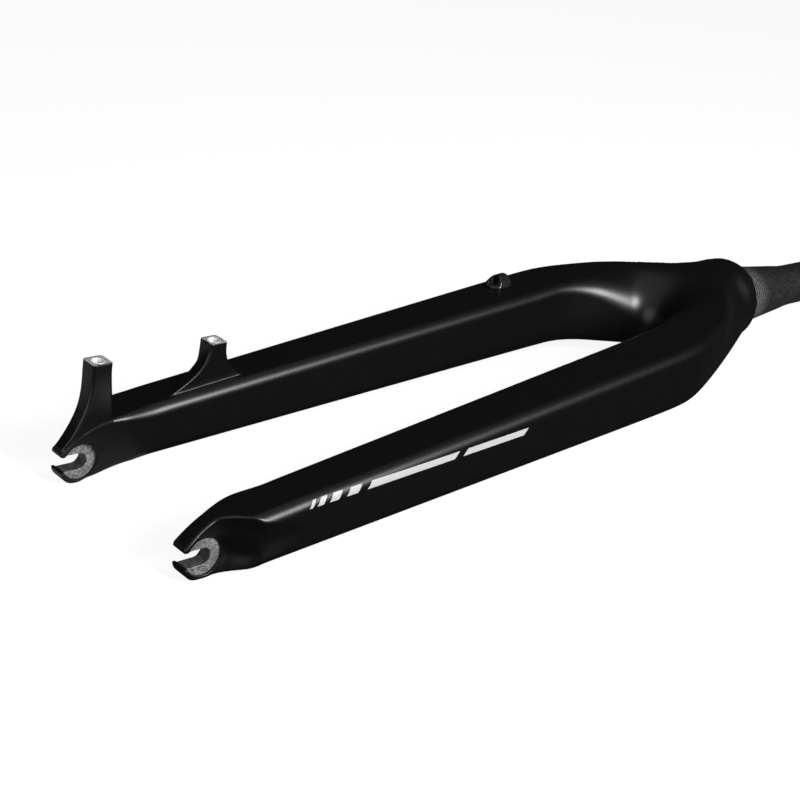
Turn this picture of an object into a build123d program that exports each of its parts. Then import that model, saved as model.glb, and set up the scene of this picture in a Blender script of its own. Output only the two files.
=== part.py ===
"""Rigid bicycle fork: moulded legs and crown, tapered steerer, brake posts and open dropouts.

The fork is drawn with its axle at the origin: x runs parallel to the steerer towards its top,
y points to the bicycle's left and z to its rear. It is then laid on its front, as it comes to
rest on a floor, on the two dropouts and the end of the steerer.
"""

import os
from math import asin, atan2, cos, degrees, hypot, radians, sin, sqrt, tan

from build123d import *

# Fork geometry
axle_to_crown = 490.0
rake = 45.0
hub_spacing = 100.0

# Legs
overall_width = 147.5
gap_at_axle = 91.5
gap_at_bend = 72.2
front_at_axle = -7.4
rear_at_axle = 21.1
front_at_shoulder = 17.2
rear_at_shoulder = 58.0
edge_radius = 6.0

# Crown
crown_lead = 15.0
shoulder_height = 360.0
shoulder_rounding = 25.0
shoulder_bow = 1.1
rear_lift = 3.0
edge_growth = 0.8
collar_radius = 28.0
collar_height = 12.0
collar_chamfer = 3.0
collar_lap = 2.0
collar_step = 0.5
arch_bend_height = 345.0
arch_bend_radius = 40.0
arch_angle = 23.8
arch_radius = 18.0

# Dropouts
dropout_radius = 12.0
dropout_wall = 8.0
outer_spot_depth = 0.5
inner_spot_depth = 1.5
spot_face_diameter = 20.0
axle_diameter = 9.0
prong_angle = 155.0
heel_height = 25.0
heel_rise = 1.0
heel_bulge = 3.5
scallop_x = -4.0
scallop_z = 8.0
scallop_floor = 16.5
scallop_ramp = 15.0

# Brake posts on the left leg
post_spacing = 74.0
lower_post_x = 10.2
post_face = 53.0
post_offset = 6.0
post_length = 11.6
post_width = 11.4
post_corner = 1.2

# Flare of each post towards the dropout and the crown: how far it reaches and how late it curves
lower_post_sink = 13.0
lower_reach_down = 14.0
lower_curve_down = 2.2
lower_reach_up = 26.0
lower_curve_up = 4.0
lower_narrowing = 4.0
upper_post_sink = 5.7
upper_reach_down = 29.0
upper_curve_down = 2.4
upper_reach_up = 26.0
upper_curve_up = 2.8

# Threaded inserts in the posts
insert_diameter = 8.4
insert_length = 20.0
thread_diameter = 5.0
thread_depth = 16.0
bond_gap = 0.1

# Steerer
steerer_diameter = 28.6
race_diameter = 39.8
steerer_bore = 22.4
steerer_length = 300.0
race_height = 10.0
race_step = 0.2
taper_length = 58.0
socket_depth = 45.0
steerer_chamfer = 0.6

# Hose guide on the rear of the left leg
guide_x = 315.0
guide_inset = 12.75
guide_length = 16.0
guide_width = 13.0
guide_foot = 1.2
guide_arch = 10.6
guide_bore = 5.2
guide_wall = 0.6

half_width = overall_width / 2
seat_y = hub_spacing / 2
plate_inner = seat_y - inner_spot_depth
plate_outer = seat_y + dropout_wall + outer_spot_depth
crown_start = min(arch_bend_height, shoulder_height) - crown_lead
collar_base = axle_to_crown - collar_height
neck_radius = collar_radius - collar_step
steerer_radius = steerer_diameter / 2
race_radius = race_diameter / 2
spigot_radius = race_radius - race_step
steerer_end = axle_to_crown + steerer_length
steerer_axis = Axis((0, 0, rake), (1, 0, 0))
post_y = seat_y + post_offset
upper_post_x = lower_post_x + post_spacing
guide_y = half_width - guide_inset
guide_axis = guide_foot + guide_bore / 2
guide_top = guide_axis + guide_bore / 2 + guide_wall
leg_end = -2 * dropout_radius
clear = 2 * overall_width
crown_spans = 7
roundest = 0.98


def along(start, end, share):
    """Value at a share of the way from start to end."""
    return start + (end - start) * share


def half_gap(x):
    """Half the clear width between the legs' flat inner faces at x."""
    return along(gap_at_axle, gap_at_bend, x / arch_bend_height) / 2


def leg_front(x):
    """Height of the legs' front face at x."""
    return along(front_at_axle, front_at_shoulder, x / shoulder_height)


def leg_rear(x):
    """Height of the legs' rear face at x."""
    return along(rear_at_axle, rear_at_shoulder, x / shoulder_height)


def across(x, y, z):
    """Plane square to the steerer at a point, with y to its right and z up."""
    return Plane(origin=(x, y, z), x_dir=(0, 1, 0), z_dir=(1, 0, 0))


def side(y):
    """Plane of the fork's side view at y."""
    return Plane.XZ.offset(-y)


def envelope(x):
    """Rounded rectangle round both legs at x, which closes in to the round collar."""
    past = x - shoulder_height
    if abs(past) < shoulder_rounding:
        past = (past + shoulder_rounding) ** 2 / (4 * shoulder_rounding)
    share = max(0.0, past) / (collar_base - shoulder_height)
    width = along(half_width, neck_radius, share**shoulder_bow)
    front = leg_front(x) + (rake - neck_radius - leg_front(collar_base)) * share
    rear = leg_rear(x) + (rake + neck_radius - leg_rear(collar_base)) * share**rear_lift
    radius = along(edge_radius, roundest * min(width, (rear - front) / 2), share**edge_growth)
    with BuildSketch(across(x, 0, (front + rear) / 2)) as section:
        RectangleRounded(2 * width, rear - front, radius)
    return section.sketch.face()


def leg_end_outline():
    """Side view of a leg's end: its rear face curves down to the prong and the round nose."""
    tip_angle = radians(prong_angle)
    tip = (dropout_radius * cos(tip_angle), dropout_radius * sin(tip_angle))
    heel = (heel_height, leg_rear(heel_height) + heel_rise)
    brow = (along(tip[0], heel[0], 0.5) - heel_bulge / 2, along(tip[1], heel[1], 0.5) + heel_bulge)
    nose = (0, -dropout_radius)
    with BuildSketch(Plane.XZ) as outline:
        with BuildLine():
            ThreePointArc(heel, brow, tip)
            ThreePointArc(tip, (-dropout_radius, 0), nose)
            Polyline(nose, (clear, -dropout_radius), (clear, heel[1]), heel)
        make_face()
    return outline.sketch.face()


def nose_outline():
    """Side view of a dropout's nose, round about the axle, which runs up into the leg's front."""
    front = (-dropout_radius, 0)
    nose = (0, -dropout_radius)
    toe = (heel_height, leg_front(heel_height) + heel_rise)
    with BuildSketch(Plane.XZ) as outline:
        with BuildLine():
            RadiusArc(front, nose, -dropout_radius)
            Spline(nose, toe, tangents=((1, 0), (1, 0)))
            Polyline(toe, (heel_height, 0), front)
        make_face()
    return outline.sketch.face()


def post_section(share, x, sink, down, up, outward):
    """Section of a post at a share of its depth, where each end flares by a power of the share."""
    depth = post_face - leg_rear(x) + sink
    low = x - post_length / 2 - down[0] * share ** down[1]
    high = x + post_length / 2 + up[0] * share ** up[1]
    near = post_y - post_width / 2
    far = post_y + post_width / 2 + outward * share**2
    with BuildSketch(Plane.XY.offset(post_face - depth * share)) as section:
        with Locations(((low + high) / 2, (near + far) / 2)):
            Rectangle(high - low, far - near)
        chamfer(section.vertices(), post_corner)
    return section.sketch.face()


with BuildPart() as fork_body:
    # One skin round both legs, which closes in over the crown to the round collar
    with BuildSketch(Plane.XZ):
        with BuildLine():
            Polyline(
                (leg_end, leg_front(leg_end)),
                (crown_start, leg_front(crown_start)),
                (crown_start, leg_rear(crown_start)),
                (leg_end, leg_rear(leg_end)),
                close=True,
            )
        make_face()
    extrude(amount=half_width, both=True)
    ends = fork_body.faces().filter_by(Axis.X).edges()
    sides = fork_body.edges().filter_by(Axis.Y, reverse=True)
    fillet([edge for edge in sides if edge not in ends], edge_radius)
    crown_root = fork_body.faces().sort_by(Axis.X)[-1]
    heights = [along(crown_start, collar_base, span / crown_spans) for span in range(1, crown_spans + 1)]
    loft([crown_root] + [envelope(height) for height in heights])

    # Gap between the legs and the arch over the wheel, with rounded edges
    bend = half_gap(arch_bend_height)
    peak = arch_bend_height + bend / tan(radians(arch_angle))
    with BuildSketch(Plane.XY) as gap:
        with BuildLine():
            Polyline(
                (leg_end, half_gap(leg_end)),
                (arch_bend_height, bend),
                (peak, 0),
                (arch_bend_height, -bend),
                (leg_end, -half_gap(leg_end)),
                close=True,
            )
        make_face()
        fillet(gap.vertices().sort_by(Axis.X)[-1], arch_radius)
        fillet(gap.vertices().group_by(Axis.X)[1], arch_bend_radius)
    extrude(amount=clear, both=True, mode=Mode.SUBTRACT)
    gap_edges = fork_body.edges(Select.LAST).filter_by(Axis.Z, reverse=True)
    inner_edges = gap_edges.filter_by_position(Axis.X, leg_end, axle_to_crown, inclusive=(False, False))
    fillet(inner_edges, edge_radius)

    # Scallops that thin each leg to the dropout's plate, outside and in
    rim = scallop_floor + scallop_ramp
    with BuildSketch(Plane((scallop_x, 0, scallop_z))):
        for hand in (1, -1):
            for floor, way in ((plate_outer, 1), (plate_inner, -1)):
                lip = hand * (floor + way * scallop_ramp)
                beyond = hand * (floor + way * 2 * scallop_ramp)
                with BuildLine():
                    Polyline(
                        (0, hand * floor),
                        (scallop_floor, hand * floor),
                        (rim, lip),
                        (rim, beyond),
                        (0, beyond),
                        close=True,
                    )
                make_face()
    revolve(axis=Axis((scallop_x, 0, scallop_z), (0, 1, 0)), mode=Mode.SUBTRACT)

    # Leg ends trimmed to their outline, and the dropouts' noses
    with BuildSketch(Plane.XZ):
        with Locations((heel_height - clear / 2, 0)):
            Rectangle(clear, clear)
        add(leg_end_outline(), mode=Mode.SUBTRACT)
    extrude(amount=clear, both=True, mode=Mode.SUBTRACT)
    for y in (plate_outer, -plate_inner):
        extrude(nose_outline().moved(Location((0, y, 0))), amount=plate_outer - plate_inner, dir=(0, -1, 0))

    # Brake posts
    shares = (0, 0.25, 0.5, 0.75, 1)
    lower = (
        lower_post_x,
        lower_post_sink,
        (lower_reach_down, lower_curve_down),
        (lower_reach_up, lower_curve_up),
        -lower_narrowing,
    )
    upper = (
        upper_post_x,
        upper_post_sink,
        (upper_reach_down, upper_curve_down),
        (upper_reach_up, upper_curve_up),
        0,
    )
    loft([post_section(share, *lower) for share in shares])
    loft([post_section(share, *upper) for share in shares])

    # Spot faces and axle slots
    for hand in (1, -1):
        with BuildSketch(side(hand * (seat_y + dropout_wall))):
            Circle(spot_face_diameter / 2)
        extrude(amount=clear, dir=(0, hand, 0), mode=Mode.SUBTRACT)
    with BuildSketch(side(-seat_y)):
        Circle(spot_face_diameter / 2)
    extrude(amount=hub_spacing, dir=(0, 1, 0), mode=Mode.SUBTRACT)
    with BuildSketch(Plane.XZ):
        Circle(axle_diameter / 2)
        with Locations((-clear / 2, 0)):
            Rectangle(clear, axle_diameter)
    extrude(amount=clear, both=True, mode=Mode.SUBTRACT)

    # Sockets for the threaded inserts
    with BuildSketch(Plane.XY.offset(post_face)):
        with Locations((lower_post_x, post_y), (upper_post_x, post_y)):
            Circle(insert_diameter / 2 + bond_gap)
    extrude(amount=-insert_length - bond_gap, mode=Mode.SUBTRACT)

    # Collar with its chamfered rim, and the socket for the steerer
    with BuildSketch(Plane.XZ) as collar:
        with Locations((axle_to_crown, rake)):
            Rectangle(collar_height + collar_lap, collar_radius, align=(Align.MAX, Align.MIN))
        chamfer(collar.vertices().group_by(Axis.X)[-1].sort_by(Axis.Y)[-1], collar_chamfer)
    revolve(axis=steerer_axis)
    with BuildSketch(across(axle_to_crown, 0, rake)):
        Circle(spigot_radius + bond_gap)
    extrude(amount=-socket_depth, mode=Mode.SUBTRACT)

with BuildPart() as steerer_tube:
    # Tapered tube, from the bottom of the socket to its plain cut end
    with BuildSketch(Plane.XZ) as wall:
        with BuildLine():
            Polyline(
                (axle_to_crown - socket_depth + bond_gap, rake + steerer_bore / 2),
                (axle_to_crown - socket_depth + bond_gap, rake + spigot_radius),
                (axle_to_crown, rake + spigot_radius),
                (axle_to_crown, rake + race_radius),
                (axle_to_crown + race_height, rake + race_radius),
                (axle_to_crown + race_height + taper_length, rake + steerer_radius),
                (steerer_end, rake + steerer_radius),
                (steerer_end, rake + steerer_bore / 2),
                close=True,
            )
        make_face()
        chamfer(wall.vertices().group_by(Axis.X)[-1], steerer_chamfer)
    revolve(axis=steerer_axis)

with BuildPart() as post_insert_lower:
    with BuildSketch(Plane.XY.offset(post_face)):
        with Locations((lower_post_x, post_y)):
            Circle(insert_diameter / 2)
    extrude(amount=-insert_length)
    with BuildSketch(Plane.XY.offset(post_face)):
        with Locations((lower_post_x, post_y)):
            Circle(thread_diameter / 2)
    extrude(amount=-thread_depth, mode=Mode.SUBTRACT)

with BuildPart() as post_insert_upper:
    add(post_insert_lower.part.moved(Location((post_spacing, 0, 0))))

with BuildPart() as hose_guide:
    # Foot on the slope of the leg's rear face, and an arch over the bore for the hose
    slope = atan2(rear_at_shoulder - rear_at_axle, shoulder_height)
    end_x = guide_x - guide_length / 2 * cos(slope)
    end_z = leg_rear(end_x) + bond_gap
    end_face = Plane(origin=(end_x, guide_y, end_z), x_dir=(0, 1, 0), z_dir=(cos(slope), 0, sin(slope)))
    with BuildSketch(end_face):
        Rectangle(guide_width, guide_foot, align=(Align.CENTER, Align.MIN))
    extrude(amount=guide_length)
    with BuildSketch(end_face.offset(guide_length - guide_arch)):
        Ellipse(guide_width / 2, guide_top)
        Rectangle(guide_width, guide_top, align=(Align.CENTER, Align.MAX), mode=Mode.SUBTRACT)
        with Locations((0, guide_axis)):
            Circle(guide_bore / 2, mode=Mode.SUBTRACT)
    extrude(amount=guide_arch)

# The angle at which the front of the steerer's end and the dropouts' noses touch one floor
drop = rake - steerer_radius
tilt = atan2(drop, steerer_end) + asin(dropout_radius / hypot(steerer_end, drop))
slot = axle_diameter / 2
prong = sqrt(dropout_radius**2 - slot**2)
nose_x = -prong * cos(tilt) - slot * sin(tilt)
crest_x = steerer_end * cos(tilt) + (rake + steerer_radius - steerer_chamfer) * sin(tilt)
lying = Location((-(nose_x + crest_x) / 2, 0, dropout_radius), (0, degrees(tilt), 0))

os.makedirs("parts", exist_ok=True)
fork_body.part.label = "fork_body"
steerer_tube.part.label = "steerer_tube"
post_insert_lower.part.label = "post_insert_lower"
post_insert_upper.part.label = "post_insert_upper"
hose_guide.part.label = "hose_guide"
export_step(fork_body.part.moved(lying), "parts/fork_body.step")
export_step(steerer_tube.part.moved(lying), "parts/steerer_tube.step")
export_step(post_insert_lower.part.moved(lying), "parts/post_insert_lower.step")
export_step(post_insert_upper.part.moved(lying), "parts/post_insert_upper.step")
export_step(hose_guide.part.moved(lying), "parts/hose_guide.step")
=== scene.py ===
# %% [markdown]
# # A rigid bicycle fork, dressed for a studio picture
# The fork is a black moulding with two boxy legs, a wishbone crown and a tapered steerer. Its frame is a set
# of plain solids that never moves. Each step below works out one visible piece or one finish as numpy arrays,
# hands it to Blender, and says what it made.

# %% Load the frame
import math

import bpy
import numpy as np
from mathutils import Matrix


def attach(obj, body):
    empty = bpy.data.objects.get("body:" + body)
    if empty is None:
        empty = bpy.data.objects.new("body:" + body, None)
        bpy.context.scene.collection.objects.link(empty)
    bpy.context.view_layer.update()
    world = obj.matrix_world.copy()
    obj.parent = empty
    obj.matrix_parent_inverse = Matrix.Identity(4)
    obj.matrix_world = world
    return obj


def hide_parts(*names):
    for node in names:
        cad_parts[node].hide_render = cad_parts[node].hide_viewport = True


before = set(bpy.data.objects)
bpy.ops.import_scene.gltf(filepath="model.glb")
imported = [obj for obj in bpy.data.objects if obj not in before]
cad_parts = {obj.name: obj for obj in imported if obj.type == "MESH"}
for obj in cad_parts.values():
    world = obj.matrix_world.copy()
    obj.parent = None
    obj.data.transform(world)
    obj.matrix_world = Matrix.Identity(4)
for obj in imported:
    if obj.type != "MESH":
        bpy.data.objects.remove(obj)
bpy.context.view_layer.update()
print("solids in the frame:", sorted(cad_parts))

# %% [markdown]
# ## Where the fork lies
# A fork maker measures from the axle: x runs up along the steerer, y to the bicycle's left, z to its rear, in
# millimetres. The finished fork lies on its front, so the same numbers are turned a few degrees about y and
# shifted. Working in the maker's frame keeps every size readable, and one function lays the result down.

# %% Fork frame to floor frame
steerer_end = 790.0
rake = 45.0
steerer_radius = 14.3
nose_radius = 12.0
slot_half = 4.5
end_chamfer = 0.6
drop = rake - steerer_radius
tilt = math.atan2(drop, steerer_end) + math.asin(nose_radius / math.hypot(steerer_end, drop))
tip_reach = math.sqrt(nose_radius**2 - slot_half**2)
lowest_x = -tip_reach * math.cos(tilt) - slot_half * math.sin(tilt)
highest_x = steerer_end * math.cos(tilt) + (rake + steerer_radius - end_chamfer) * math.sin(tilt)
turn = np.array([
    [math.cos(tilt), 0, math.sin(tilt)],
    [0, 1, 0],
    [-math.sin(tilt), 0, math.cos(tilt)],
])
shift = np.array([-(lowest_x + highest_x) / 2, 0, nose_radius])


def lay(points):
    """Millimetres in the fork's frame to metres on the floor: turned about y, then shifted."""
    return (points @ turn.T + shift) / 1000


print("tilt on the floor:", round(math.degrees(tilt), 3), "degrees")

# %% [markdown]
# ## From arrays to a piece
# A mesh can be built face by face, but a large surface goes faster as flat arrays that Blender copies in one
# call. Where the exact normals are known they are set too, so that curved faces shade smoothly; otherwise the
# edges that are sharper than an angle stay crisp. Each piece hides the solid of the frame that it stands for.

# %% Mesh from arrays
crisp_angle = math.radians(32)


def make_piece(name, points, faces, stands_for, normals=None):
    """Mesh object of four-cornered faces, riding on the fork in place of one solid of the frame."""
    mesh = bpy.data.meshes.new(name)
    mesh.vertices.add(len(points))
    mesh.vertices.foreach_set("co", lay(points).astype(np.float32).ravel())
    mesh.loops.add(faces.size)
    mesh.loops.foreach_set("vertex_index", faces.astype(np.int32).ravel())
    mesh.polygons.add(len(faces))
    mesh.polygons.foreach_set("loop_start", np.arange(0, faces.size, 4, dtype=np.int32))
    mesh.update(calc_edges=True)
    mesh.validate()
    mesh.shade_smooth()
    if normals is None:
        mesh.set_sharp_from_angle(angle=crisp_angle)
    else:
        mesh.normals_split_custom_set_from_vertices((normals @ turn.T).tolist())
    piece = bpy.data.objects.new(name, mesh)
    bpy.context.scene.collection.objects.link(piece)
    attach(piece, "root")
    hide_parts(stands_for)
    print(name, len(points), "points,", 2 * len(faces), "triangles")
    return piece


# %% [markdown]
# ## The moulding as a field
# Legs, crown, posts and dropouts are one moulding: every face flows into the next through a blend. A grid of
# two parameters can't branch like that, and joining solids leaves hard seams. So the moulding is written as a
# field, a number at each point of space that is negative inside and counts millimetres to the skin. Fields
# join and cut with plain arithmetic, and the blends come from the same formulas.

# %% Arithmetic of fields
def ease(t):
    """0 below 0, 1 above 1, and the cubic S of 3t^2 - 2t^3 between."""
    t = np.clip(t, 0, 1)
    return t * t * (3 - 2 * t)


def ramp(value, start, run):
    """S from 0 at the start to 1 one run further on."""
    return ease((value - start) / run)


def fade(value, start, run):
    """S from 1 at the start down to 0 one run further on."""
    return 1 - ramp(value, start, run)


def bend_up(d, size):
    """Hyperbola that is 0 well below 0 and d well above it, with a soft bend of the given size."""
    return (d + np.sqrt(d * d + size * size)) / 2


def both(a, b, r):
    """Inside both shapes: the larger field, with their common edge rounded to a radius r."""
    return np.minimum(-r, np.maximum(a, b)) + np.hypot(np.maximum(a + r, 0), np.maximum(b + r, 0))


def either(a, b, r):
    """Inside either shape: the smaller field, with a fillet of radius r where they meet."""
    return np.maximum(r, np.minimum(a, b)) - np.hypot(np.maximum(r - a, 0), np.maximum(r - b, 0))


def rounded_box(p, q, half_p, half_q, r):
    """Distance to a rectangle with rounded corners, in two coordinates."""
    a = np.abs(p) - (half_p - r)
    b = np.abs(q) - (half_q - r)
    return np.hypot(np.maximum(a, 0), np.maximum(b, 0)) + np.minimum(np.maximum(a, b), 0) - r


print("field 3 mm inside two faces with a 6 mm rounding:", round(float(both(-3.0, -3.0, 6.0)), 2), "mm")

# %% [markdown]
# ## Skin of legs and crown
# Cut across the steerer, both legs fill one rounded rectangle. Below the shoulder its sides are straight;
# above it they close in to the round collar, while the corner radius grows until the rectangle is a circle.
# Cross-sections could be lofted instead, but one formula for width, height and radius along x has no seams.
# Each S-shaped change is a pair of numbers: where it starts and how long it runs.

# %% Front and rear faces
shoulder_x = 360.0
shoulder_bend = 14.0
collar_x = 478.0
collar_radius = 28.0
collar_rise = (428.0, 54.0)
front_height = -7.384
front_slope = 0.0683
rear_height = 21.115
rear_slope = 0.1021
rear_bend = 8.0
toe_height = 0.03 - nose_radius
toe_run = (0.0, 28.0)
heel_centre = (35.46, -44.0)
heel_radius = 69.0
heel_bend = 1.0
heel_end = (24.0, 26.0)


def front_and_rear(x):
    """Heights of the front and rear faces, and the share of the way from shoulder to collar.

    Both are straight on the legs and rise to the collar; the rear one follows an arc down the heel.
    """
    past = np.clip(bend_up(x - shoulder_x, shoulder_bend) / (collar_x - shoulder_x), 0, 1)
    front = front_height + front_slope * np.minimum(x, collar_x)
    rear = rear_height + rear_slope * (x - bend_up(x - collar_x, rear_bend))
    front_end = front_height + front_slope * collar_x
    rear_end = rear_height + rear_slope * collar_x
    front = front + (rake - collar_radius - front_end) * past
    rear = rear + (rake + collar_radius - rear_end) * ramp(x, *collar_rise)
    front = toe_height + (front - toe_height) * ramp(x, *toe_run)
    reach = np.clip(heel_centre[0] - x, 0, heel_radius - 1)
    heel = heel_centre[1] + np.sqrt(heel_radius**2 - reach**2)
    rear = rear - bend_up(rear - heel, heel_bend) * fade(x, *heel_end)
    return front, rear, past


front_faces, rear_faces, _ = front_and_rear(np.array([100.0, shoulder_x]))
print("depth of a leg at 100 mm and at the shoulder:", np.round(rear_faces - front_faces, 1).tolist(), "mm")

# %% Skin
half_width = 73.75
edge_radius = 6.0
crown_top = 490.0
collar_rim = 9.0
dome_height = 2.8
dome_rise = (325.0, 35.0)
dome_fall = (415.0, 50.0)
dome_side = (10.0, 44.0)
neck_overrun = 1.5
neck_power = 1.1
neck_inset = 0.3
neck_bend = 2.0
roundness = 0.985
front_power = 0.9
rear_power_gain = 2.6
lean_size = 14.0
lean_rise = (400.0, 62.0)
lean_fall = (462.0, 18.0)
lean_side = (0.0, 26.0)


def crown_dome(x, across):
    """Height of the soft swelling of the crown's rear face above the arch."""
    return dome_height * ramp(x, *dome_rise) * fade(x, *dome_fall) * fade(across, *dome_side)


def skin_field(x, across, z):
    """Rounded rectangle whose width, height and corner radius change along x, ended by the collar's rim.

    Behind its middle the corners round off later, the crown swells, and its sides lean in near the collar.
    """
    front, rear, past = front_and_rear(x)
    share = bend_up(x - shoulder_x, shoulder_bend) / (collar_x + neck_overrun - shoulder_x)
    neck = half_width - (half_width - collar_radius) * share**neck_power
    width = neck + bend_up(collar_radius - neck_inset - neck, neck_bend)
    half = (rear - front) / 2
    middle = (front + rear) / 2
    behind = ease((z - middle) / half)
    full_radius = roundness * np.minimum(width, half)
    radius = edge_radius + (full_radius - edge_radius) * past ** (front_power + rear_power_gain * behind)
    lean = lean_size * ramp(x, *lean_rise) * fade(x, *lean_fall)
    swell = crown_dome(x, across) * behind
    pull = lean * behind * ramp(across, *lean_side)
    skin = rounded_box(across + pull, z - swell - middle, width, half, radius)
    return both(skin, x - crown_top, collar_rim)


print("skin from", 2 * half_width, "mm at the legs to", 2 * collar_radius, "mm at the collar")

# %% [markdown]
# ## Gap for the wheel
# The legs stand apart for the tyre, and the crown bridges them with a pointed arch. A cutting solid would
# leave a sharp rim to bevel afterwards; in the field the gap is subtracted and its rim rounded in one step.
# Behind the arch the rounding grows to a wide soft saddle that catches the light.

# %% Wheel gap
plate_inner = 48.3
inner_start = 45.74
inner_slope = 0.028
plate_run = (3.0, 25.0)
arch_angle = math.radians(31.0)
arch_radius = 16.0
arch_bend = 9.0
arch_point = 422.8
arch_centre = arch_point - arch_radius / math.sin(arch_angle)


def inner_face(x):
    """Distance of a leg's inner face from the middle: a plate at the axle, then a slow taper."""
    return inner_start - inner_slope * x + (plate_inner - inner_start) * fade(x, *plate_run)


def gap_field(x, across):
    """Inside the gap: nearer the middle than the legs' inner faces and below the arch's two sloping sides."""
    beside = across - inner_face(x)
    run = (arch_centre - x) * math.cos(arch_angle) + across * math.sin(arch_angle)
    slope = (x - arch_centre) * math.sin(arch_angle) + across * math.cos(arch_angle)
    arch = np.where(run < 0, np.hypot(x - arch_centre, across), slope) - arch_radius
    close = np.maximum(arch_bend - np.abs(beside - arch), 0) / arch_bend
    return np.maximum(beside, arch) + close * close * arch_bend / 4


print("top of the arch:", round(arch_centre + arch_radius, 1), "mm above the axle")

# %% Rim and saddle
crisp_radius = 1.0
crisp_end = (6.0, 40.0)
toe_rounding = 3.0
toe_rise = (-2.0, 8.0)
toe_fall = (14.0, 18.0)
toe_top = (-4.0, 8.0)
above_toe = 20.0
saddle_growth = 52.0
saddle_run = (328.0, 115.0)
saddle_limit = 36.0
saddle_bend = 16.0


def rim_rounding(x, z):
    """Rounding of the gap's rim: crisp at the dropouts, with a soft toe at the front, leg's edge above."""
    soft = edge_radius - (edge_radius - crisp_radius) * fade(x, *crisp_end)
    toe = ramp(x, *toe_rise) * fade(x, *toe_fall) * fade(z, *toe_top)
    return soft + toe_rounding * toe


def saddle_rounding(x):
    """Rounding of the gap's rear rim: it grows as the square of an S behind the arch, then levels out."""
    grown = saddle_growth * ramp(x, *saddle_run) ** 2
    most = bend_up(saddle_limit, saddle_bend)
    return rim_rounding(x, above_toe) + most - bend_up(saddle_limit - grown, saddle_bend)


def legs_field(x, across, z):
    """Skin without the gap; the rear face meets the gap in the saddle, all other faces in the plain rim."""
    _, rear, _ = front_and_rear(x)
    wall = -gap_field(x, across)
    plain = both(skin_field(x, across, z), wall, rim_rounding(x, z))
    return np.maximum(plain, both(z - rear - crown_dome(x, across), wall, saddle_rounding(x)))


print("saddle's rounding over the arch:", round(float(saddle_rounding(np.array(arch_point))), 1), "mm")

# %% [markdown]
# ## Leg ends
# Each leg thins to a flat plate for the axle. On the outside a scooped ramp runs down to the plate; from the
# side, the rear edge curves down to a short prong and the nose is a squarish half oval below the axle. The
# scoop could be sculpted by hand, but as a height over the side view it stays the same on both legs.

# %% Leg ends
far_inside = -60.0
plate_outer = 58.7
plate_front_gain = 0.9
plate_front_run = (-6.0, 14.0)
plate_rear_loss = 1.1
plate_rear_run = (6.0, 9.0)
ramp_start = 4.5
axle_detour = 6.0
axle_detour_height = 7.0
ramp_end = 27.5
ramp_end_gain = 1.5
ramp_end_gain_run = (-6.0, 10.0)
ramp_end_loss = 4.2
ramp_end_loss_run = (12.0, 11.0)
ramp_inset = 0.6
runout_slope = 0.3
runout_bend = 3.0
scoop_steepness = 0.75
scoop_crisp = 1.1
scoop_soft = 5.0
scoop_soft_run = (14.0, 12.0)
scoop_rear_run = (-18.0, 16.0)
scoop_front_run = (0.0, 16.0)
nose_reach = 11.3
nose_power = 2.6
prong_lean = 0.4
prong_run = (0.0, 4.0)


def scoop_field(x, across, z):
    """Outer face of a leg's end: the plate, then an S-shaped ramp round the axle up to the leg's side."""
    start = ramp_start + axle_detour * np.exp(-((z / axle_detour_height) ** 2))
    rim = ramp_end + ramp_end_gain * ramp(z, *ramp_end_gain_run)
    rim = rim - ramp_end_loss * ramp(z, *ramp_end_loss_run)
    plate = plate_outer + plate_front_gain * fade(z, *plate_front_run)
    plate = plate - plate_rear_loss * ramp(z, *plate_rear_run)
    climb = (half_width - ramp_inset - plate) * ease((x - start) / (rim - start))
    runout = runout_slope * bend_up(x - rim + runout_bend, runout_bend)
    return (across - (plate + climb + runout)) * scoop_steepness


def scoop_rounding(x, z):
    """Rounding of the scoop's rim: crisp along the rear edge, soft where it runs out on the leg's side."""
    front, rear, _ = front_and_rear(x)
    side = fade(z - rear, *scoop_rear_run) * ramp(z - front, *scoop_front_run)
    return scoop_crisp + scoop_soft * ramp(x, *scoop_soft_run) * side


def end_field(x, z):
    """Side view of a leg's end: the cut across the prong's tip and the nose's squarish half oval."""
    oval = (np.abs(x / nose_reach) ** nose_power + np.abs(z / nose_radius) ** nose_power) ** (1 / nose_power)
    nose = np.where((x < 0) & (z < 0), nose_radius * (oval - 1), far_inside)
    return np.maximum(-tip_reach - prong_lean * ramp(z, *prong_run) - x, nose)


print("plate at the axle:", round(plate_outer - plate_inner, 1), "mm thick before facing")

# %% [markdown]
# ## Brake posts
# The brake caliper bolts to two posts on the left leg. Each is square at its top and flares into the leg: its
# dropout side sweeps far down the leg in one curve, and the upper post's crown side sweeps out as well. A
# column in the field whose faces move with depth makes the flare without any join to hide.

# %% Lower post
post_top = 53.0
post_y = 56.0
post_x = (10.2, 84.2)
lower_low = 4.2
lower_high = 16.5
lower_floor = 6.0
lower_sweep = 15.7
lower_sweep_top = 45.0
lower_sweep_depth = 37.7
lower_power = 1.75
lower_power_gain = 0.95
lower_power_run = (50.0, 11.5)
lower_prong = 0.5
lower_near = 50.1
lower_near_top = 50.0
lower_near_depth = 26.0
lower_foot_inset = 1.5
lower_foot_run = (6.0, 10.0)
lower_far = 61.7
lower_far_taper = 4.0
lower_far_depth = 45.0
lower_corner = 1.2
lower_corner_gain = 1.0
lower_corner_run = (12.0, 20.0)


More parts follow.
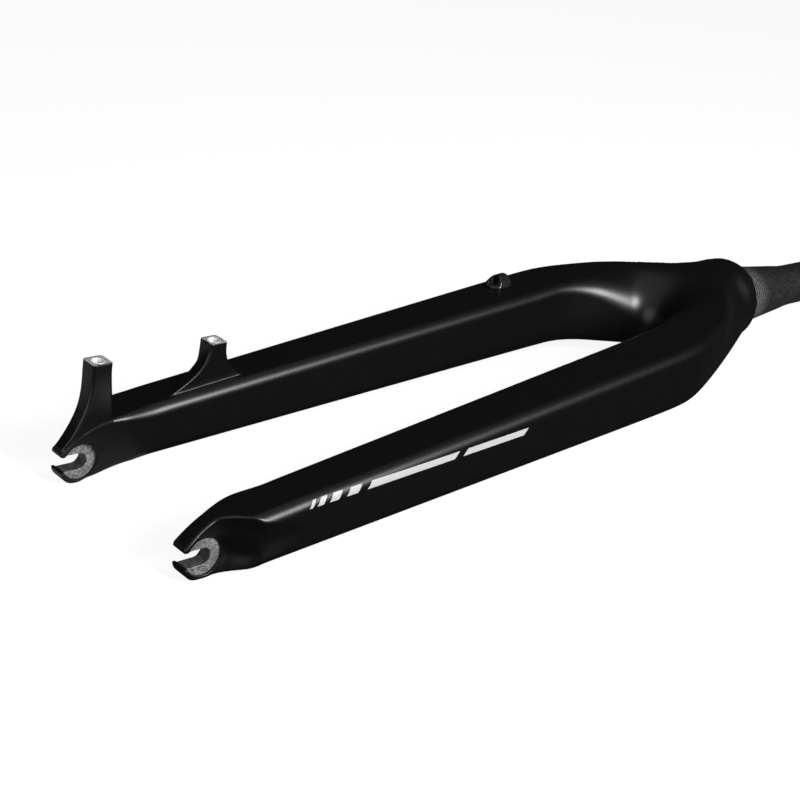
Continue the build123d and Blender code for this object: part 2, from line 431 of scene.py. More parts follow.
def lower_post_field(x, y, z):
    """Square column whose dropout side sweeps out to the prong as a power of the depth.

    The power is smaller on the inner side, so that the sweep starts higher there.
    """
    sweep = np.maximum(lower_sweep_top - z, 0) / lower_sweep_depth
    power = lower_power + lower_power_gain * np.clip((y - lower_power_run[0]) / lower_power_run[1], 0, 1)
    low = np.maximum(lower_low - lower_sweep * sweep**power, lower_prong - tip_reach)
    depth = np.clip((post_top - z) / lower_far_depth, 0, 1) ** 2
    sink = ease((lower_near_top - z) / lower_near_depth)
    near = lower_near + (inner_face(x) - lower_near) * sink + lower_foot_inset * fade(z, *lower_foot_run)
    far = lower_far - lower_far_taper * depth
    corner = lower_corner + lower_corner_gain * ramp(z, *lower_corner_run)
    along = x - (low + lower_high) / 2
    post = rounded_box(along, y - (near + far) / 2, (lower_high - low) / 2, (far - near) / 2, corner)
    return np.maximum(post, lower_floor - z)


print("lower post:", round(lower_high - lower_low, 1), "mm long at its top")

# %% Upper post
upper_middle = 56.15
upper_half = 5.6
upper_corner = 1.6
upper_floor = 20.0
upper_steepness = 0.8
upper_side_run = (51.0, 10.5)
upper_inner = (79.0, 25.5, 26.5, 2.3)
upper_outer = 78.9
upper_outer_height = 39.3
upper_outer_bend = 2.0
upper_high = (90.0, 20.0, 25.2, 2.8)


def upper_post_field(x, y, z):
    """Square column whose two sides sweep out along the leg as powers of the depth.

    Each sweep is given by its place at the top, its size, the depth at which it has that size, and the power.
    """
    depth = np.maximum(post_top - z, 0)
    outward = np.clip((y - upper_side_run[0]) / upper_side_run[1], 0, 1)
    place, size, full_depth, power = upper_inner
    low_inner = place - size * (depth / full_depth) ** power
    low_outer = upper_outer - bend_up(upper_outer_height - z, upper_outer_bend)
    low = low_inner + (low_outer - low_inner) * outward
    place, size, full_depth, power = upper_high
    high = place + size * (depth / full_depth) ** power
    post = rounded_box(x - (low + high) / 2, y - upper_middle, (high - low) / 2, upper_half, upper_corner)
    return np.maximum(post * upper_steepness, upper_floor - z)


print("brake posts:", round(post_x[1] - post_x[0], 1), "mm apart")

# %% [markdown]
# ## Machined faces
# After moulding, a cutter faces both sides of each dropout round the axle, the slots are sawn, and the posts
# are drilled for threaded inserts. These cuts have crisp edges, so they take no rounding or very little.

# %% Whole moulding
end_rounding = 0.8
lower_fillet = 1.2
upper_fillet = 0.8
post_zone = (-20.0, 140.0)
post_rounding = 0.4
spot_radius = 10.0
seat_inner = 50.0
seat_outer = 58.0
insert_hole = 4.25
insert_length = 20.0
slot_zone = 20.0
slot_rounding = 0.3
socket_radius = 20.0
socket_floor = 487.0


def moulding_field(x, y, z):
    """Skin without the gap, trimmed at the leg ends, joined with the posts and cut by the machining."""
    across = np.abs(y)
    body = legs_field(x, across, z)
    body = both(body, scoop_field(x, across, z), scoop_rounding(x, z))
    body = both(body, end_field(x, z), end_rounding)
    left = either(body, lower_post_field(x, y, z), lower_fillet)
    left = either(left, upper_post_field(x, y, z), upper_fillet)
    at_posts = (x < post_zone[1]) & (x > post_zone[0])
    left = both(left, np.where(at_posts, z - post_top, far_inside) + 0 * y, post_rounding)
    body = np.where(y > 0, left, body)
    for place in post_x:
        hole = np.maximum(np.hypot(x - place, y - post_y) - insert_hole, post_top - insert_length - z)
        body = np.maximum(body, -hole)
    spot = np.hypot(x, z) - spot_radius
    body = np.maximum(body, -np.maximum(spot, seat_outer - across))
    body = np.maximum(body, -np.maximum(spot, across - seat_inner))
    slot = np.where(x > 0, np.hypot(x, z), np.abs(z)) - slot_half
    body = both(body, np.where(x < slot_zone, -slot, far_inside) + 0 * y, slot_rounding)
    socket = np.maximum(np.hypot(y, z - rake) - socket_radius, socket_floor - x)
    return np.maximum(body, -socket)


in_leg, in_gap = moulding_field(np.array([200.0, 200.0]), np.array([60.0, 0.0]), np.array([25.0, 25.0]))
print("field inside a leg and in the gap:", round(float(in_leg), 1), round(float(in_gap), 1), "mm")

# %% [markdown]
# ## From field to mesh
# A net is hung in the field: each cell of a grid that the skin passes through gets one point, and each grid
# line that crosses the skin gets one face through the four cells round it. The grid is fine at the dropouts
# and posts and coarse along the straight legs. Then every point slides down the field's slope onto the skin,
# and the slope also gives its exact normal, so that highlights run without facets.

# %% Net in a field
def net(field, xs, ys, zs):
    """One point in each mixed cell, at the mean of its edge crossings, and one face across each cut edge."""
    values = field(xs[:, None, None], ys[None, :, None], zs[None, None, :])
    inside = values < 0
    nx, ny, nz = inside.shape
    corners = [(i, j, k) for i in (0, 1) for j in (0, 1) for k in (0, 1)]
    count = sum(inside[i:nx - 1 + i, j:ny - 1 + j, k:nz - 1 + k].astype(np.int8) for i, j, k in corners)
    mixed = (count > 0) & (count < 8)
    cells = np.stack(np.nonzero(mixed), 1)
    number = np.full(mixed.shape, -1, np.int64)
    number[mixed] = np.arange(len(cells))
    step = np.eye(3, dtype=int)
    total = np.zeros((len(cells), 3))
    hits = np.zeros(len(cells))
    faces = []
    for axis in range(3):
        one, two = step[(axis + 1) % 3], step[(axis + 2) % 3]
        for offset in (0 * one, one, two, one + two):
            a = cells + offset
            b = a + step[axis]
            fa, fb = values[tuple(a.T)], values[tuple(b.T)]
            cut = (fa < 0) != (fb < 0)
            t = np.where(cut, fa / np.where(cut, fa - fb, 1), 0)[:, None]
            start = np.stack([xs[a[:, 0]], ys[a[:, 1]], zs[a[:, 2]]], 1)
            end = np.stack([xs[b[:, 0]], ys[b[:, 1]], zs[b[:, 2]]], 1)
            total += np.where(cut[:, None], start + t * (end - start), 0)
            hits += cut
        before = np.take(inside, range(inside.shape[axis] - 1), axis)
        after = np.take(inside, range(1, inside.shape[axis]), axis)
        edge = np.stack(np.nonzero(before != after), 1)
        ring = [edge - one - two, edge - two, edge, edge - one]
        quads = np.stack([number[tuple(r.T)] for r in ring], 1)
        faces.append(np.where(after[tuple(edge.T)][:, None], quads[:, ::-1], quads))
    return total / hits[:, None], np.concatenate(faces)


def slope_of(field, points, h=0.04):
    """Slope of the field by central differences along x, y and z."""
    moves = np.eye(3) * h
    pairs = [field(*(points + m).T) - field(*(points - m).T) for m in moves]
    return np.stack(pairs, 1) / (2 * h)


def settle(field, points, rounds=3, reach=0.5, least_slope=0.2):
    """Points slid onto the skin by steps of field over slope, and the unit slope there as outward normals."""
    for _ in range(rounds):
        slope = slope_of(field, points)
        size = np.maximum(np.linalg.norm(slope, axis=1), least_slope)
        move = np.clip(field(*points.T) / size, -reach, reach)
        points = points - (move / size)[:, None] * slope
    slope = slope_of(field, points)
    return points, slope / np.maximum(np.linalg.norm(slope, axis=1), 1e-6)[:, None]


def grid_lines(*runs):
    """Grid lines through runs of (start, end, spacing), each run evenly divided."""
    parts = [np.linspace(a, b, max(2, round((b - a) / d) + 1))[:-1] for a, b, d in runs]
    return np.concatenate(parts + [[runs[-1][1]]])


print("lines of a run from 0 to 1:", grid_lines((0, 1, 0.25)).tolist())

# %% Fork body
xs = grid_lines((-14, 30, 0.58), (30, 48, 1.4), (48, 102, 1.15), (102, 126, 2.4), (126, 322, 14),
                (322, 470, 2.5), (470, 492, 1.1))
half_ys = grid_lines((0, 44, 2.0), (44, 49, 0.8), (49, 50.6, 0.4), (50.6, 57.4, 0.75), (57.4, 59.2, 0.4),
                     (59.2, 62, 0.7), (62, 75, 0.9))
ys = np.concatenate([-half_ys[:0:-1], half_ys])
zs = grid_lines((-13.4, 26, 0.73), (26, 51.6, 1.0), (51.6, 53.4, 0.45), (53.4, 75, 1.7))
body_points, body_faces = net(moulding_field, xs, ys, zs)
body_points, body_normals = settle(moulding_field, body_points, rounds=5)
fork_moulding = make_piece("fork_moulding", body_points, body_faces, "fork_body", body_normals)

# %% [markdown]
# ## Steerer
# The steerer is a round tube, so it is a profile carried round an axis: the profile runs up the outside from
# inside the crown, over the race seat and the taper to the plain cut end, and back down the bore. Blender's
# Screw modifier could turn it too, but not with the thin mould line that runs along the tube, raised by a
# bell curve of the angle.

# %% Revolved profiles
def loop_faces(rows, columns):
    """Faces of a grid that closes on itself both ways."""
    i = np.arange(rows)[:, None] * columns
    j = np.arange(columns)[None, :]
    k = (j + 1) % columns
    n = (np.arange(rows)[:, None] + 1) % rows * columns
    return np.stack([i + j, i + k, n + k, n + j], -1).reshape(-1, 4)


def revolve(profile, turns, centre, axis, start, ridge, ridge_angle, ridge_width):
    """Closed profile of (along, radius, share of the ridge) carried round an axis.

    The ridge is a bell curve of the angle, exp(-(gap / width)^2), that is added to the radius.
    """
    axis = np.array(axis, float)
    start = np.array(start, float)
    third = np.cross(axis, start)
    angle = np.linspace(0, 2 * np.pi, turns, endpoint=False)
    gap = np.angle(np.exp(1j * (angle - ridge_angle)))
    bell = ridge * np.exp(-((gap / ridge_width) ** 2))
    along = profile[:, 0][:, None] + 0 * angle
    radius = profile[:, 1][:, None] + profile[:, 2][:, None] * bell
    spoke = np.cos(angle)[:, None] * start + np.sin(angle)[:, None] * third
    points = np.array(centre) + along[..., None] * axis + radius[..., None] * spoke
    return points.reshape(-1, 3), loop_faces(len(profile), turns)


def run_of(points, spacing):
    """Profile through corner points of (along, radius, share of the ridge), divided evenly on each side."""
    rows = []
    for a, b in zip(points, points[1:] + points[:1]):
        a, b = np.array(a, float), np.array(b, float)
        n = max(1, round(np.hypot(*(b - a)[:2]) / spacing))
        rows.append(a + (b - a) * np.linspace(0, 1, n, endpoint=False)[:, None])
    return np.concatenate(rows)


# %% Steerer tube
steerer_corners = [
    (445.1, 11.2, 0), (445.1, 19.7, 0), (490.0, 19.7, 0),
    (490.0, 19.9, 1), (500.0, 19.9, 1), (506.0, 19.55, 1),
    (516.0, 18.4, 1), (542.0, 15.9, 1), (552.0, 14.75, 1), (560.0, 14.3, 1),
    (789.4, 14.3, 1), (790.0, 13.7, 0), (790.0, 11.8, 0), (789.4, 11.2, 0),
]
profile_spacing = 3.0
steerer_turns = 160
steerer_points, steerer_faces = revolve(
    run_of(steerer_corners, profile_spacing), steerer_turns, (0, 0, rake), (1, 0, 0), (0, -1, 0),
    ridge=0.14, ridge_angle=-0.35, ridge_width=0.03)
steerer_piece = make_piece("tapered_steerer", steerer_points, steerer_faces, "steerer_tube")

# %% [markdown]
# ## Threaded inserts
# Each post holds an aluminium insert with an M6 thread. A thread is a groove whose depth depends on the
# height plus a share of the pitch for the angle, so it is a surface of two parameters: angle and height. It
# is real form and no bump map, because the light in the hole shows its turns.

# %% Post inserts
insert_rings = [(20.0, 4.0), (19.7, 4.2), (0.3, 4.2), (0.0, 3.9), (0.0, 3.35)]
insert_turns = 64
insert_sunk = 0.05
core_radius = 2.5
thread_depth = 0.45
thread_pitch = 1.0
thread_from = 0.7
thread_to = 16.0
thread_lead = (0.5, 0.8)
rings_per_pitch = 6


def capped_tube_faces(rows, columns):
    """Faces of a grid that closes round its columns, with its end rings closed by ladders of faces."""
    side = loop_faces(rows, columns)[: (rows - 1) * columns]
    rung = np.arange(columns // 2 - 1)
    ladder = np.stack([rung, columns - 1 - rung, columns - 2 - rung, rung + 1], 1)
    return np.concatenate([side, ladder, ladder[:, ::-1] + (rows - 1) * columns])


def insert_surface(place):
    """Turned insert: rings of (depth, radius) from its foot to its mouth, then the threaded bore.

    The bore's radius is a triangle wave of depth and angle, which fades in below the mouth.
    """
    angle = np.linspace(0, 2 * np.pi, insert_turns, endpoint=False)
    bore = np.arange(thread_from, thread_to, thread_pitch / rings_per_pitch)
    wave = np.abs(((bore[:, None] - thread_pitch * angle / (2 * np.pi)) / thread_pitch) % 1 - 0.5) * 2
    thread = core_radius + thread_depth * wave * ramp(bore[:, None], *thread_lead)
    ring_depths, ring_radii = np.array(insert_rings).T
    flat = np.ones(insert_turns)
    radii = np.concatenate([ring_radii[:, None] * flat, thread, [core_radius * flat]])
    depths = np.concatenate([ring_depths, bore, [thread_to]])[:, None] + 0 * angle
    points = np.stack([
        place + radii * np.cos(angle),
        post_y - radii * np.sin(angle),
        post_top - insert_sunk - depths,
    ], -1)
    return points.reshape(-1, 3), capped_tube_faces(len(depths), insert_turns)


inserts = []
for place, label in zip(post_x, ("lower", "upper")):
    points, faces = insert_surface(place)
    inserts.append(make_piece("insert_" + label, points, faces, "post_insert_" + label))

# %% [markdown]
# ## Hose guide
# A small plastic clip on the left leg's rear face holds the brake hose: an oval foot with a rounded rim, and
# a low arch over the hose. It branches like the moulding does, so it is cut from a field too, in coordinates
# that follow the leg: along it, across it and up from its rear face.

# %% Hose guide
leg_rear_start = 21.1
leg_rear_rise = 36.9
leg_slope = math.atan2(leg_rear_rise, shoulder_x)
guide_half = 8.0
guide_x = 315.0
guide_y = 61.0
guide_gap = 0.1
guide_start = guide_x - guide_half * math.cos(leg_slope)
leg_rear = leg_rear_start + leg_rear_rise * guide_start / shoulder_x
guide_origin = np.array([guide_start, guide_y, leg_rear + guide_gap])
foot_size = (7.95, 6.45, 6.3)
foot_height = 1.9
foot_rounding = 0.9
dish_size = (6.3, 4.8, 4.7)
dish_floor = 0.7
dish_rounding = 0.5
clip_half_width = 6.3
clip_height = 6.95
clip_steepness = 5.0
mouth_start = 3.4
mouth_lean = 0.6
mouth_steepness = 0.86
mouth_rounding = 0.8
clip_end = 15.95
clip_end_rounding = 2.2
clip_fillet = 0.8
hose_height = 3.8
hose_radius = 2.6
hose_rounding = 0.2


def guide_field(s, w, h):
    """Oval dish with a rounded rim, an arch with a leaning mouth over its crown end, and the bore."""
    foot = both(rounded_box(s - guide_half, w, *foot_size), h - foot_height, foot_rounding)
    dish = np.maximum(rounded_box(s - guide_half, w, *dish_size), dish_floor - h)
    foot = both(foot, -dish, dish_rounding)
    section = np.hypot(np.abs(w) / clip_half_width, np.maximum(h, 0) / clip_height) - 1
    mouth = (mouth_start + mouth_lean * h - s) * mouth_steepness
    arch = both(section * clip_steepness, mouth, mouth_rounding)
    arch = both(arch, s - clip_end, clip_end_rounding)
    clip = either(foot, arch, clip_fillet)
    bore = np.hypot(w, h - hose_height) - hose_radius
    clip = both(clip, -bore, hose_rounding)
    return np.maximum(clip, -h)


guide_points, guide_faces = net(
    guide_field, grid_lines((-0.6, 16.6, 0.3)), grid_lines((-7, 7, 0.3)), grid_lines((-0.5, 7.1, 0.28)))
guide_points, guide_normals = settle(guide_field, guide_points, reach=0.2)
up_the_leg = np.array([
    [math.cos(leg_slope), 0, -math.sin(leg_slope)],
    [0, 1, 0],
    [math.sin(leg_slope), 0, math.cos(leg_slope)],
])
hose_clip = make_piece("hose_clip", guide_points @ up_the_leg.T + guide_origin, guide_faces, "hose_guide",
                       guide_normals @ up_the_leg.T)

# %% [markdown]
# ## Finishes
# All finishes read Object coordinates turned back into the fork's frame, in millimetres, so that a mask can
# be written with the same sizes as the shape it lies on. The nodes could be placed by hand in the Shader
# Editor; a class with short names for the sums keeps a long chain of them readable.

# %% Node helpers
class Finish:
    """A node material under construction, with short ways to add maths in the fork's millimetres."""

    def __init__(self, name):
        self.material = bpy.data.materials.new(name)
        self.material.use_nodes = True
        self.nodes = self.material.node_tree.nodes
        self.links = self.material.node_tree.links
        self.shader = self.nodes["Principled BSDF"]
        place = self.nodes.new("ShaderNodeTexCoord")
        mapping = self.nodes.new("ShaderNodeMapping")
        mapping.inputs["Scale"].default_value = (1000, 1000, 1000)
        mapping.inputs["Rotation"].default_value = (0, -tilt, 0)
        mapping.inputs["Location"].default_value = tuple(-turn.T @ shift)
        self.links.new(place.outputs["Object"], mapping.inputs["Vector"])
        self.point = mapping.outputs["Vector"]
        split = self.nodes.new("ShaderNodeSeparateXYZ")
        self.links.new(self.point, split.inputs["Vector"])
        self.x, self.y, self.z = split.outputs

    def put(self, socket, value):
        """Link another node's output to a socket, or write a plain value there."""
        if isinstance(value, bpy.types.NodeSocket):
            self.links.new(value, socket)
        else:
            socket.default_value = value

    def math(self, operation, a, b=0.0, c=0.0):
        """One sum on up to three values."""
        node = self.nodes.new("ShaderNodeMath")
        node.operation = operation
        for socket, value in zip(node.inputs, (a, b, c)):
            self.put(socket, value)
        return node.outputs[0]

    def times(self, a, b):
        """Product of two values."""
        return self.math("MULTIPLY", a, b)

    def hypot(self, a, b):
        """Square root of a^2 + b^2."""
        return self.math("SQRT", self.math("ADD", self.times(a, a), self.times(b, b)))

    def between(self, value, low, high, soft):
        """1 inside low to high and 0 outside, with soft shoulders."""
        rise = self.step(value, low, soft)
        fall = self.step(value, high, soft)
        return self.math("SUBTRACT", rise, fall)

    def step(self, value, edge, soft):
        """0 below the edge, 1 above it, with a smooth shoulder."""
        node = self.nodes.new("ShaderNodeMapRange")
        node.interpolation_type = "SMOOTHSTEP"
        node.inputs["From Min"].default_value = edge - soft
        node.inputs["From Max"].default_value = edge + soft
        self.put(node.inputs["Value"], value)
        return node.outputs["Result"]

    def below(self, value, edge, soft):
        """1 below the edge, 0 above it, with a smooth shoulder."""
        return self.math("SUBTRACT", 1.0, self.step(value, edge, soft))

    def noise(self, scale, detail, rough, stretch=(1, 1, 1), swirl=0.0):
        """Cloudy noise, scale in cycles per millimetre, stretched along the fork's axes and swirled."""
        node = self.nodes.new("ShaderNodeTexNoise")
        node.inputs["Distortion"].default_value = swirl
        node.inputs["Scale"].default_value = scale
        node.inputs["Detail"].default_value = detail
        node.inputs["Roughness"].default_value = rough
        scaled = self.nodes.new("ShaderNodeMapping")
        scaled.inputs["Scale"].default_value = stretch
        self.links.new(self.point, scaled.inputs["Vector"])
        self.links.new(scaled.outputs["Vector"], node.inputs["Vector"])
        return node.outputs["Fac"]

    def range(self, value, low, high, out_low, out_high):
        """Value carried in a straight line from low..high to out_low..out_high, held at the ends."""
        node = self.nodes.new("ShaderNodeMapRange")
        names = ("From Min", "From Max", "To Min", "To Max")
        for socket, number in zip(names, (low, high, out_low, out_high)):
            node.inputs[socket].default_value = number
        self.put(node.inputs["Value"], value)
        return node.outputs["Result"]

    def mix(self, share, a, b):
        """Colour or number mixed by a share."""
        node = self.nodes.new("ShaderNodeMix")
        colour = any(isinstance(v, tuple) or getattr(v, "type", "") == "RGBA" for v in (a, b))
        node.data_type = "RGBA" if colour else "FLOAT"
        socket = {s.identifier: s for s in node.inputs}
        kind = "Color" if colour else "Float"
        self.put(socket["Factor_Float"], share)
        self.put(socket["A_" + kind], a)
        self.put(socket["B_" + kind], b)
        return next(s for s in node.outputs if s.identifier == "Result_" + kind)

    def grey(self, value):
        """Grey colour from a number."""
        node = self.nodes.new("ShaderNodeCombineColor")
        for socket in node.inputs[:3]:
            self.put(socket, value)
        return node.outputs[0]

    def bump(self, height, depth, strength):
        """Bump whose full height is a depth in millimetres."""
        node = self.nodes.new("ShaderNodeBump")
        node.inputs["Strength"].default_value = strength
        node.inputs["Distance"].default_value = depth / 1000
        self.put(node.inputs["Height"], height)
        self.links.new(node.outputs["Normal"], self.shader.inputs["Normal"])

    def set(self, **values):
        """Feed the shader's own sockets, named with underscores for spaces."""
        for name, value in values.items():
            self.put(self.shader.inputs[name.replace("_", " ")], value)

    def dress(self, *pieces):
        """Give the finish to pieces as their only material."""
        for piece in pieces:
            piece.data.materials.clear()
            piece.data.materials.append(self.material)


# %% [markdown]
# ## Black paint with bare carbon
# The paint is a satin black with faint orange peel. The cutter took it off round the axle and on the post
# tops, where grey carbon shows its cut fibres. A broken white stripe runs along each leg's outer face. All of
# it could be painted on an image, but masks made from the fork's own sizes stay sharp at any distance.

# %% Where the carbon is bare
bare_radius = 9.9
bare_plate = (49.8, 58.15)
bare_top = 52.85
bare_post = (50.7, 60.7)
slot_edge = 4.62

paint = Finish("satin_black_paint")
side_distance = paint.math("ABSOLUTE", paint.y)
in_spot = paint.below(paint.hypot(paint.x, paint.z), bare_radius, 0.12)
on_plate = paint.times(in_spot, paint.between(side_distance, *bare_plate, 0.08))
on_post = paint.times(paint.step(paint.z, bare_top, 0.06), paint.between(paint.y, *bare_post, 0.2))
on_post = paint.times(on_post, paint.between(paint.x, *post_zone, 0.1))
bare = paint.math("MAXIMUM", on_plate, on_post)
# Mask of the slot's wall, where shade is painted into the slot further down.
from_slot = paint.hypot(paint.math("MAXIMUM", paint.x, 0.0), paint.z)
shaded_slot_mask = paint.below(from_slot, slot_edge, 0.06)
print("bare carbon within", bare_radius, "mm of the axle and on the post tops")

# %% Cut fibres
fibre_share = 0.72
carbon_tone = (0.02, 0.22)
post_tone = (0.03, 0.6)
painted_slot_shade = 0.4

fibres = paint.noise(0.22, 8.0, 0.7, (1.0, 0.6, 1.3), 3.0)
grain = paint.noise(2.4, 3.0, 0.6)
fibre_mix = paint.math("ADD", paint.times(fibres, fibre_share), paint.times(grain, 1 - fibre_share))
cut_carbon = paint.range(fibre_mix, 0.42, 0.62, *carbon_tone)
# Painted shade inside the slot: the cut carbon on the slot's wall is darkened to a share of its grey.
cut_carbon = paint.times(cut_carbon, paint.range(shaded_slot_mask, 0.0, 1.0, 1.0, painted_slot_shade))
cut_carbon = paint.mix(on_post, cut_carbon, paint.range(grain, 0.38, 0.62, *post_tone))
print("cut carbon between", carbon_tone[0], "and", carbon_tone[1], "grey")

# %% Stripe
stripe_start = 20.13
stripe_slope = 0.0581
stripe_half = 1.95
stripe_slant = -0.76
stripe_side = 72.0
dash_ends = ((51.4, 53.5), (56.4, 60.3), (64.1, 70.0), (75.1, 82.6), (89.0, 150.5), (156.8, 203.8))

stripe_line = paint.math("MULTIPLY_ADD", paint.x, stripe_slope, stripe_start)
stripe_height = paint.math("SUBTRACT", paint.z, stripe_line)
stripe_band = paint.between(stripe_height, -stripe_half, stripe_half, 0.1)
on_side = paint.step(side_distance, stripe_side, 0.3)
slant = paint.math("MULTIPLY_ADD", stripe_height, stripe_slant, paint.x)
dashes = paint.between(slant, *dash_ends[0], 0.1)
for ends in dash_ends[1:]:
    dashes = paint.math("MAXIMUM", dashes, paint.between(slant, *ends, 0.1))
stripe = paint.times(paint.times(stripe_band, on_side), dashes)
print("stripe of", len(dash_ends), "dashes,", 2 * stripe_half, "mm wide")

# %% Paint
black_tone = (0.0008, 0.0016)
white_tone = (0.33, 0.39)
satin_roughness = (0.33, 0.37)
cut_roughness = (0.42, 0.62)
peel_share = 0.12

dust = paint.noise(0.35, 6.0, 0.75)
peel = paint.noise(0.9, 2.0, 0.5)
black = paint.grey(paint.range(dust, 0.3, 0.75, *black_tone))
white = paint.grey(paint.range(grain, 0.3, 0.7, *white_tone))
painted = paint.mix(stripe, black, white)
paint.set(Base_Color=paint.mix(bare, painted, paint.grey(cut_carbon)))
satin = paint.range(dust, 0.3, 0.7, *satin_roughness)
paint.set(Roughness=paint.mix(bare, satin, paint.range(grain, 0.3, 0.7, *cut_roughness)))
paint.set(Specular_IOR_Level=0.5)
paint.bump(paint.mix(bare, paint.times(peel, peel_share), fibres), 0.12, 0.35)
paint.dress(fork_moulding)
print("paint of", len(paint.nodes), "nodes")

# %% [markdown]
# ## Bare steerer
# The steerer is sanded carbon. Near the crown the sanding left fine rings and pale specks. The rings are a
# sine along the tube that ends above the race seat; the specks are a stretched noise that thins out there.

# %% Steerer carbon
worked_end = 508.0
ring_pace = 2.6
ring_tone = (0.0, 0.10)
speck_tone = (0.0, 0.28)
speck_above = 0.15
weave_tone = (0.004, 0.014)

carbon = Finish("sanded_carbon")
low_end = carbon.below(carbon.x, worked_end, 9.0)
weave = carbon.noise(0.6, 4.0, 0.65, (0.25, 1.0, 1.0))
speck = carbon.noise(1.5, 4.0, 0.75, (1.6, 0.8, 0.8))
rings = carbon.math("SINE", carbon.times(carbon.x, ring_pace))
ring_grey = carbon.times(carbon.range(rings, 0.2, 1.0, *ring_tone), low_end)
speck_share = carbon.range(low_end, 0.0, 1.0, speck_above, 1.0)
speck_grey = carbon.times(carbon.range(speck, 0.56, 0.70, *speck_tone), speck_share)
marks = carbon.math("ADD", ring_grey, speck_grey)
tone = carbon.math("ADD", carbon.range(weave, 0.3, 0.7, *weave_tone), marks)
carbon.set(Base_Color=carbon.grey(tone))
carbon.set(Roughness=carbon.range(weave, 0.3, 0.7, 0.36, 0.5))
carbon.set(Specular_IOR_Level=0.5)
carbon.bump(carbon.math("ADD", carbon.times(weave, 0.5), carbon.times(rings, 0.3)), 0.1, 0.5)
carbon.dress(steerer_piece)
print("steerer's finish of", len(carbon.nodes), "nodes")

# %% [markdown]
# ## Aluminium inserts and the plastic clip
# Turned aluminium is bright and slightly cloudy; moulded plastic is glossy with a trace of flow. On pieces
# this small one noise for colour, roughness and bump is enough.

# %% Metal and plastic
metal_tone = (0.70, 0.95)
plastic_tone = (0.008, 0.014)

metal = Finish("turned_aluminium")
turned = metal.noise(2.2, 3.0, 0.6)
metal.set(Base_Color=metal.grey(metal.range(turned, 0.3, 0.7, *metal_tone)))
metal.set(Metallic=0.45)
metal.set(Roughness=metal.range(turned, 0.3, 0.7, 0.35, 0.55))
metal.bump(turned, 0.05, 0.4)
metal.dress(*inserts)

plastic = Finish("glossy_black_plastic")
flow = plastic.noise(0.8, 3.0, 0.5)
plastic.set(Base_Color=plastic.grey(plastic.range(flow, 0.3, 0.7, *plastic_tone)))
plastic.set(Roughness=plastic.range(flow, 0.3, 0.7, 0.16, 0.26))
plastic.set(Specular_IOR_Level=0.5)
plastic.bump(flow, 0.05, 0.3)
plastic.dress(hose_clip)
print("finishes:", [finish.material.name for finish in (paint, carbon, metal, plastic)])

# %% [markdown]
# ## Floor and light
# The picture is a cut-out on white. A pale glowing floor stands in for it, kept out of the paint's
# reflections so that the faces stay black; soft boxes draw the highlights along the edges, and a dim card on
# the table lifts the posts' faces that look down at it.

# %% Stage
def plane(name, corners):
    """Flat face through four corners, in metres."""
    mesh = bpy.data.meshes.new(name)
    mesh.from_pydata(corners, [], [(0, 1, 2, 3)])
    piece = bpy.data.objects.new(name, mesh)
    bpy.context.scene.collection.objects.link(piece)
    return piece


floor_reach = 60
table_grey = (0.16, 0.16, 0.16, 1)
table_glow = 0.9
room_glow = 0.02
full_white = (1, 1, 1, 1)

floor = plane("floor", [
    (-floor_reach, -floor_reach, 0), (floor_reach, -floor_reach, 0),
    (floor_reach, floor_reach, 0), (-floor_reach, floor_reach, 0),
])
floor.visible_glossy = False
paper = bpy.data.materials.new("lit_white_table")
paper.use_nodes = True
table = paper.node_tree.nodes["Principled BSDF"]
table.inputs["Base Color"].default_value = table_grey
table.inputs["Roughness"].default_value = 0.9
table.inputs["Specular IOR Level"].default_value = 0.0
table.inputs["Emission Color"].default_value = full_white
table.inputs["Emission Strength"].default_value = table_glow
floor.data.materials.append(paper)

world = bpy.data.worlds.new("studio")
world.use_nodes = True
background = world.node_tree.nodes["Background"]
background.inputs["Color"].default_value = full_white
background.inputs["Strength"].default_value = room_glow
bpy.context.scene.world = world
print("floor", 2 * floor_reach, "m across, glowing at", table_glow)

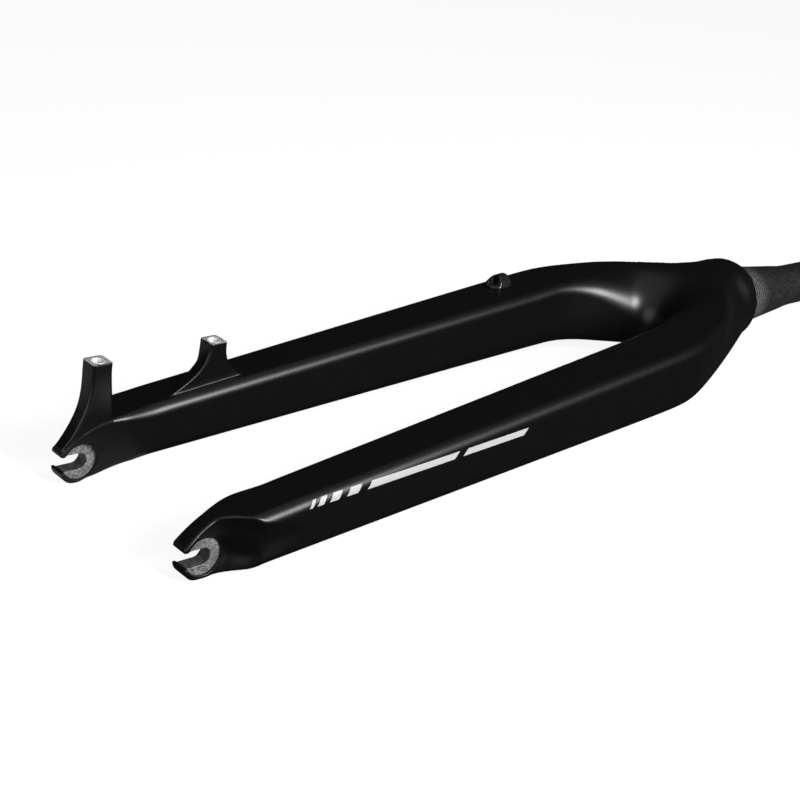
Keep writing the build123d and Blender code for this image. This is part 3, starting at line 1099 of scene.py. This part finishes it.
# %% Soft boxes
def soft_box(name, target, direction, distance, size, watts):
    """Rectangular light that looks at a point of the fork from a direction in the fork's frame."""
    light = bpy.data.lights.new(name, "AREA")
    light.shape = "RECTANGLE"
    light.size, light.size_y = size
    light.energy = watts
    lamp = bpy.data.objects.new(name, light)
    lamp.visible_camera = False
    bpy.context.scene.collection.objects.link(lamp)
    back = turn @ (np.array(direction, float) / np.linalg.norm(direction))
    right = np.cross((0, 0, 1) if abs(back[2]) < 0.9 else (0, 1, 0), back)
    right = right / np.linalg.norm(right)
    up = np.cross(back, right)
    pose = np.eye(4)
    pose[:3, :3] = np.stack([right, up, back], 1)
    pose[:3, 3] = lay(np.array([target], float))[0] + back * distance
    lamp.matrix_world = Matrix(pose.tolist())
    print(name, watts, "W,", size[0], "by", size[1], "m")


soft_box("key_box", (300, 0, 40), (0.075, -0.854, 0.515), 1.35, (0.62, 0.62), 32.0)
soft_box("sky_box", (250, 0, 40), (-0.1, -0.2, 1.0), 1.7, (2.4, 2.4), 7.2)
soft_box("low_box", (100, 0, 20), (-0.95, -0.1, 0.35), 1.6, (1.6, 1.2), 8.0)
soft_box("table_card", (-80, 140, -6), (0.0, 0.0, -1.0), 0.0045, (0.25, 0.25), 0.05)

# %% [markdown]
# ## Camera
# The camera stands where the photographer's did: a turn about one axis and a shift, found by fitting known
# sizes of the fork to the photo. The turn by an angle about an axis is written out as a matrix: 1 plus the
# sine times the axis's cross product, plus 1 less the cosine times that product twice.

# %% Camera
view_turn = np.array([1.9328, -0.6466, 0.6372])
view_shift = np.array([-132.677, 51.4031, 774.9657])
focal_pixels = 1556.52
picture_pixels = 800
sensor_width = 36.0

view_angle = np.linalg.norm(view_turn)
kx, ky, kz = view_turn / view_angle
cross = np.array([[0, -kz, ky], [kz, 0, -kx], [-ky, kx, 0]])
view = np.eye(3) + math.sin(view_angle) * cross + (1 - math.cos(view_angle)) * cross @ cross
eye = -view.T @ view_shift
lens = bpy.data.cameras.new("photo_camera")
lens.sensor_width = sensor_width
lens.lens = sensor_width * focal_pixels / picture_pixels
camera = bpy.data.objects.new("photo_camera", lens)
bpy.context.scene.collection.objects.link(camera)
pose = np.eye(4)
pose[:3, :3] = turn @ np.stack([view[0], -view[1], -view[2]], 1)
pose[:3, 3] = lay(eye[None])[0]
camera.matrix_world = Matrix(pose.tolist())
bpy.context.scene.camera = camera
bpy.context.scene.view_settings.view_transform = "Standard"
print("camera", np.round(pose[:3, 3], 3).tolist(), "lens", round(lens.lens, 2), "mm")
